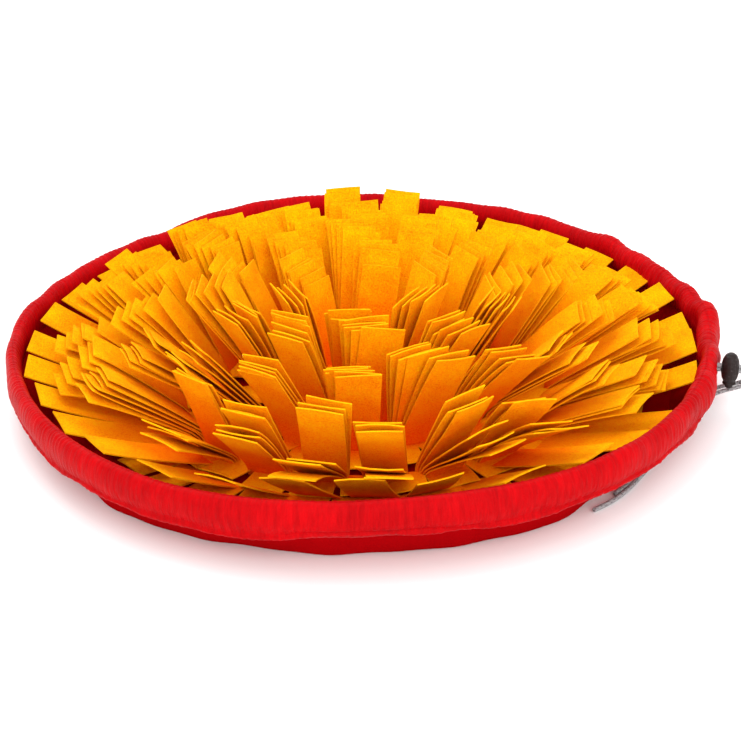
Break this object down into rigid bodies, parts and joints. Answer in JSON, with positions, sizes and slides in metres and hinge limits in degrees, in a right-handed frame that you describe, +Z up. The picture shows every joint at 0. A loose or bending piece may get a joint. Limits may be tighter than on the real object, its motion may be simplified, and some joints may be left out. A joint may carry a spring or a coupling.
{
  "type": "snuffle mat",
  "caption": "Round felt snuffle mat: stacks of soft strips stand in a shallow dish with a padded, gathered rim, drawn in by a cord with a spring cord lock.",
  "frame": {"origin": "centre of the flat underside, on the floor", "axes": "+Z up; -Y towards the side seen from the front; the cord lock is at the right, 15 degrees in front of +X"},
  "size_m": [0.4614, 0.4498, 0.0838],
  "materials": {
    "yellow_felt": "matt, slightly fuzzy needled felt",
    "red_felt": "matt needled felt",
    "red_casing": "smooth woven polyester with a soft sheen, finely gathered",
    "grey_cord": "fine braid with dark flecks",
    "dark_plastic": "moulded, satin, faintly speckled"
  },
  "bodies": {
    "mat": {"felt_dish": "red_felt", "rim_casing": "red_casing", "comb_petal_1": "yellow_felt", "comb_petal_2": "yellow_felt", "comb_petal_3": "yellow_felt", "comb_petal_4": "yellow_felt", "comb_petal_5": "yellow_felt", "comb_petal_6": "yellow_felt", "comb_petal_7": "yellow_felt", "comb_petal_8": "yellow_felt", "comb_outer_1": "yellow_felt", "comb_outer_2": "yellow_felt", "comb_outer_3": "yellow_felt", "comb_outer_4": "yellow_felt", "comb_outer_5": "yellow_felt", "comb_outer_6": "yellow_felt", "comb_outer_7": "yellow_felt", "comb_outer_8": "yellow_felt", "comb_middle_1": "yellow_felt", "comb_middle_2": "yellow_felt", "comb_middle_3": "yellow_felt", "comb_middle_4": "yellow_felt", "comb_middle_5": "yellow_felt", "comb_middle_6": "yellow_felt", "comb_inner_1": "yellow_felt", "comb_inner_2": "yellow_felt", "comb_inner_3": "yellow_felt", "comb_inner_4": "yellow_felt", "comb_heart_1": "yellow_felt", "comb_heart_2": "yellow_felt", "comb_heart_3": "yellow_felt", "comb_heart_4": "yellow_felt", "comb_heart_5": "yellow_felt", "comb_heart_6": "yellow_felt", "drawcord_upper": "grey_cord", "drawcord_lower": "grey_cord", "cord_lock_barrel": "dark_plastic"},
    "lock_button": {"cord_lock_button": "dark_plastic"}
  },
  "joints": [
    {"name": "button_press", "type": "slide", "parent": "mat", "child": "lock_button", "axis": [0, 0, 1], "range_m": [0, 0.0025], "stiffness_N_per_m": 400}
  ]
}
